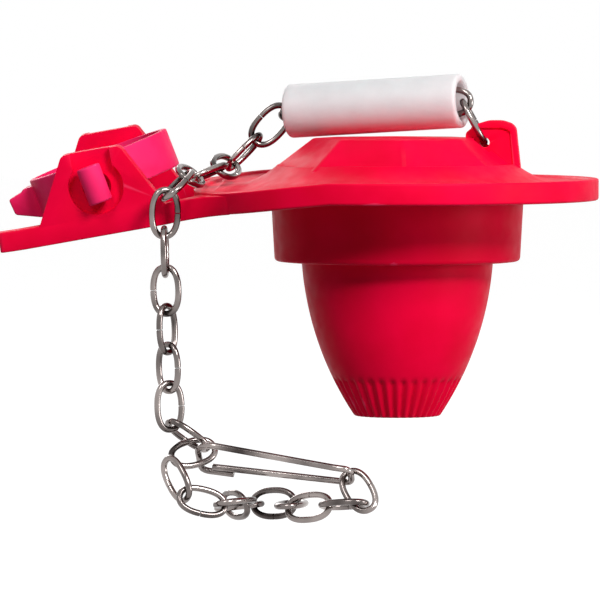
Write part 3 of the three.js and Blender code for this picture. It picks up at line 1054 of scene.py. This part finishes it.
def addCamera():
    v = cameraView
    turn, lift = math.radians(v["azimuth"]), math.radians(v["elevation"])
    level = math.cos(lift)
    back = Vector((math.sin(turn) * level, -math.cos(turn) * level, math.sin(lift)))
    data = bpy.data.cameras.new("camera")
    data.lens = v["lens"]
    data.sensor_width = v["sensor"]
    data.clip_start, data.clip_end = v["clip"]
    camera = bpy.data.objects.new("camera", data)
    camera.location = Vector(v["aim"]) + back * v["distance"]
    camera.rotation_euler = (-back).to_track_quat("-Z", "Y").to_euler()
    scene.collection.objects.link(camera)
    scene.camera = camera


def unseenFactor(nodes, links):
    # 1 where a camera, glossy or transmission ray looks, 0 where light bounces
    path = nodes.new("ShaderNodeLightPath")
    either = nodes.new("ShaderNodeMath")
    either.operation = "MAXIMUM"
    links.new(path.outputs["Is Camera Ray"], either.inputs[0])
    links.new(path.outputs["Is Glossy Ray"], either.inputs[1])
    both = nodes.new("ShaderNodeMath")
    both.operation = "MAXIMUM"
    links.new(either.outputs[0], both.inputs[0])
    links.new(path.outputs["Is Transmission Ray"], both.inputs[1])
    return both.outputs[0]


floorLook = {
    "level": -0.078,
    "size": 6,
    "paper": (0.18, 0.18, 0.18),
    "glow": 0.93,
    "roughness": 0.9,
    "specular": 0.1,
}


def addFloor():
    half = floorLook["size"] / 2
    bm = bmesh.new()
    corners = [(-half, -half), (half, -half), (half, half), (-half, half)]
    bm.faces.new([bm.verts.new((x, y, floorLook["level"])) for x, y in corners])
    mesh = bpy.data.meshes.new("floor")
    bm.to_mesh(mesh)
    bm.free()
    floor = bpy.data.objects.new("floor", mesh)
    scene.collection.objects.link(floor)
    material, nodes, links, shader = startMaterial("floorPaper")
    shader.inputs["Base Color"].default_value = (*floorLook["paper"], 1)
    shader.inputs["Roughness"].default_value = floorLook["roughness"]
    shader.inputs["Specular IOR Level"].default_value = floorLook["specular"]
    glow = nodes.new("ShaderNodeEmission")
    glow.inputs["Strength"].default_value = floorLook["glow"]
    lit = nodes.new("ShaderNodeAddShader")
    links.new(shader.outputs["BSDF"], lit.inputs[0])
    links.new(glow.outputs["Emission"], lit.inputs[1])
    seen = nodes.new("ShaderNodeMixShader")
    links.new(unseenFactor(nodes, links), seen.inputs["Fac"])
    links.new(shader.outputs["BSDF"], seen.inputs[1])
    links.new(lit.outputs["Shader"], seen.inputs[2])
    links.new(seen.outputs["Shader"], nodes["Material Output"].inputs["Surface"])
    mesh.materials.append(material)


worldLook = {
    "fill": 0.08,
}


def addWorld():
    world = bpy.data.worlds.new("studio")
    world.use_nodes = True
    scene.world = world
    nodes, links = world.node_tree.nodes, world.node_tree.links
    fill = nodes["Background"]
    fill.inputs["Color"].default_value = (1, 1, 1, 1)
    fill.inputs["Strength"].default_value = worldLook["fill"]
    seenWhite = nodes.new("ShaderNodeBackground")
    seenWhite.inputs["Color"].default_value = (1, 1, 1, 1)
    seenWhite.inputs["Strength"].default_value = 1
    mix = nodes.new("ShaderNodeMixShader")
    links.new(unseenFactor(nodes, links), mix.inputs["Fac"])
    links.new(fill.outputs["Background"], mix.inputs[1])
    links.new(seenWhite.outputs["Background"], mix.inputs[2])
    links.new(mix.outputs["Shader"], nodes["World Output"].inputs["Surface"])


lamps = [
    {"name": "key", "at": (0.46, -0.73, 0.58), "size": 0.3, "power": 9.5},
    {"name": "side", "at": (0.95, -0.25, 0.04), "size": 0.3, "power": 3.5},
    {"name": "front", "at": (-0.30, -0.85, 0.75), "size": 0.3, "power": 3.6},
    {"name": "rim", "at": (-0.45, 0.85, 0.40), "size": 0.4, "power": 3},
]


def addLamps():
    for lamp in lamps:
        data = bpy.data.lights.new(lamp["name"], "AREA")
        data.size = lamp["size"]
        data.energy = lamp["power"]
        light = bpy.data.objects.new(lamp["name"], data)
        light.location = lamp["at"]
        towards = Vector(cameraView["aim"]) - Vector(lamp["at"])
        light.rotation_euler = towards.to_track_quat("-Z", "Y").to_euler()
        scene.collection.objects.link(light)


addCamera()
addFloor()
addWorld()
addLamps()
scene.view_settings.view_transform = "Standard"
print("camera, floor and light ready")

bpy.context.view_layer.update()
